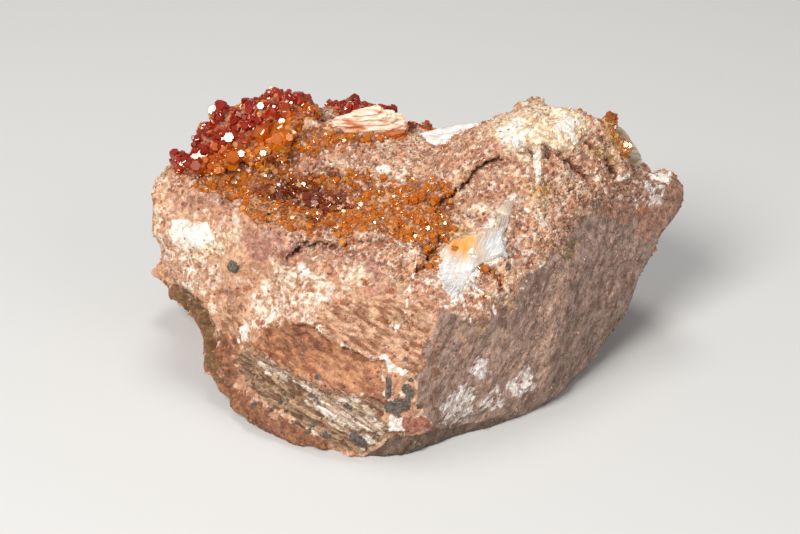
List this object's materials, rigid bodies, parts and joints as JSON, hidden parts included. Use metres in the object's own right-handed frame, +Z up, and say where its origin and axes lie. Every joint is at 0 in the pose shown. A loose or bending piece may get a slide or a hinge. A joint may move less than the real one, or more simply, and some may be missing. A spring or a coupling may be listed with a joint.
{
  "type": "vanadinite on matrix",
  "caption": "Mineral hand specimen: red to orange vanadinite crystal crusts and pale barite blades on a sugary, broken carrier rock that rests on a flat underside.",
  "frame": {"origin": "centre of the bounding box, on the flat underside that it rests on", "axes": "+X along the specimen's length, towards its pointed right end; +Z up, from the flat underside to the crystals; -Y is its front"},
  "size_m": [0.079, 0.0528, 0.0354],
  "materials": {
    "matrix_rock": "matt",
    "vanadinite_red": "gloss",
    "vanadinite_orange": "gloss",
    "barite_cream": "satin",
    "barite_white": "satin"
  },
  "bodies": {
    "root": {"matrix": "matrix_rock", "vanadinite_ridge_crust": "vanadinite_red", "vanadinite_basin_crust": "vanadinite_orange", "vanadinite_back_crust": "vanadinite_orange", "vanadinite_rear_crust": "vanadinite_red", "vanadinite_right_cluster": "vanadinite_orange", "barite_blade_fan": "barite_cream", "barite_rear_blade": "barite_white", "barite_right_blade": "barite_white", "barite_vein": "barite_white"}
  },
  "joints": []
}
